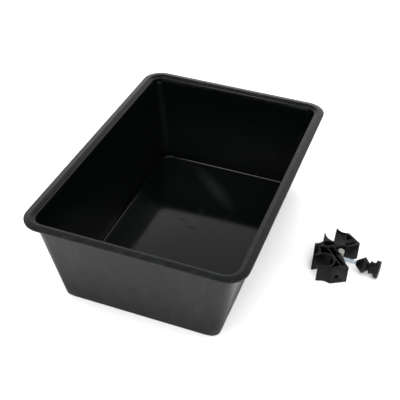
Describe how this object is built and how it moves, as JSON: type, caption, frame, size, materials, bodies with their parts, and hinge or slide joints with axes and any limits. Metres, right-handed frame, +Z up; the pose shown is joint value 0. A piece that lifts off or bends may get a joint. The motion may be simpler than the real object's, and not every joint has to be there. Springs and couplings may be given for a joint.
{
  "type": "mortar mixing tub",
  "caption": "Deep rectangular black plastic mixing tub with a rolled rim, and the loose hinged pole clamp with its knob screw that stands beside it.",
  "frame": {"origin": "centre of the tub's flat underside, on the floor", "axes": "+Z up; Y along the tub's length; X across it, with the clamp at +X"},
  "size_m": [0.527, 0.523, 0.1702],
  "materials": {
    "tub_plastic": "semi-gloss moulded, faintly scuffed",
    "clamp_plastic": "satin moulded",
    "knob_plastic": "satin moulded",
    "washer_nylon": "satin",
    "zinc": "bright zinc plate",
    "nut_metal": "yellowish zinc plate"
  },
  "bodies": {
    "tub": {"tub": "tub_plastic"},
    "front_jaw": {"front_jaw": "clamp_plastic"},
    "rear_jaw": {"rear_jaw": "clamp_plastic"},
    "nut": {"trunnion_nut": "nut_metal", "nut_retaining_ring": "zinc"},
    "spreader": {"spreader_cone": "knob_plastic", "thrust_washer": "washer_nylon"},
    "knob": {"knob_body": "knob_plastic", "knob_cap": "knob_plastic", "clamp_screw": "zinc"}
  },
  "joints": [
    {"name": "clamp_lift", "type": "slide", "parent": "tub", "child": "front_jaw", "axis": [0, 0, 1], "range_m": [0, 0.25]},
    {"name": "jaw_pivot", "type": "hinge", "parent": "front_jaw", "child": "rear_jaw", "pos_m": [0.2755, 0.0254, 0.016], "axis": [0, 0, 1], "range_deg": [-8, 0]},
    {"name": "nut_swivel", "type": "hinge", "parent": "front_jaw", "child": "nut", "pos_m": [0.2755, 0.0254, 0.016], "axis": [0, 0, 1], "range_deg": [-5, 5]},
    {"name": "spreader_travel", "type": "slide", "parent": "nut", "child": "spreader", "axis": [0.9957, -0.0924, 0], "range_m": [-0.019, 0.002]},
    {"name": "knob_turn", "type": "hinge", "parent": "spreader", "child": "knob", "pos_m": [0.33524, 0.01986, 0.016], "axis": [0.9957, -0.0924, 0], "range_deg": [-5480, 580]}
  ],
  "couplings": [
    {"joint": "knob_turn", "follows": "spreader_travel", "rad_per_m": 5026.5}
  ]
}
